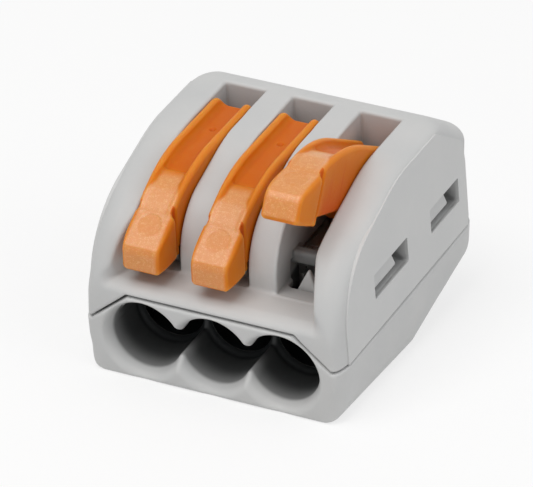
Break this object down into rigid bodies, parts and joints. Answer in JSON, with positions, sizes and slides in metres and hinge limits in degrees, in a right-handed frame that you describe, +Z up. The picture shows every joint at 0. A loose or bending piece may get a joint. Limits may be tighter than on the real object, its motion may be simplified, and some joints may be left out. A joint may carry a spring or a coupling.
{
  "type": "lever wire connector",
  "caption": "Splicing connector for electrical wires: round wire entries side by side in the front, each with a hinged lever above it that opens a spring clamp.",
  "frame": {"origin": "on the resting facet under the base, in the middle of the width", "axes": "+Z up, +Y from the wire entries to the rear, +X to the right seen from the wire entries"},
  "size_m": [0.0182, 0.0208, 0.016],
  "materials": {
    "grey_plastic": "light grey moulded plastic with a fine satin grain",
    "orange_plastic": "orange moulded plastic, satin",
    "spring_steel": "rolled spring strip",
    "tinned_copper": "tin-plated copper"
  },
  "bodies": {
    "shell": {"housing": "grey_plastic", "base": "grey_plastic", "busbar": "tinned_copper", "clamp_spring_1": "spring_steel", "clamp_spring_2": "spring_steel", "clamp_spring_3": "spring_steel"},
    "lever_1": {"lever_1": "orange_plastic"},
    "lever_2": {"lever_2": "orange_plastic"},
    "lever_3": {"lever_3": "orange_plastic"}
  },
  "joints": [
    {"name": "lever_1_hinge", "type": "hinge", "parent": "shell", "child": "lever_1", "pos_m": [-0.0048, 0.00043, 0.01096], "axis": [-1, 0, 0], "range_deg": [0, 90], "deforming": ["clamp_spring_1"]},
    {"name": "lever_2_hinge", "type": "hinge", "parent": "shell", "child": "lever_2", "pos_m": [0, 0.00043, 0.01096], "axis": [-1, 0, 0], "range_deg": [0, 90], "deforming": ["clamp_spring_2"]},
    {"name": "lever_3_hinge", "type": "hinge", "parent": "shell", "child": "lever_3", "pos_m": [0.0048, 0.00043, 0.01096], "axis": [-1, 0, 0], "range_deg": [-31, 59], "deforming": ["clamp_spring_3"]}
  ]
}
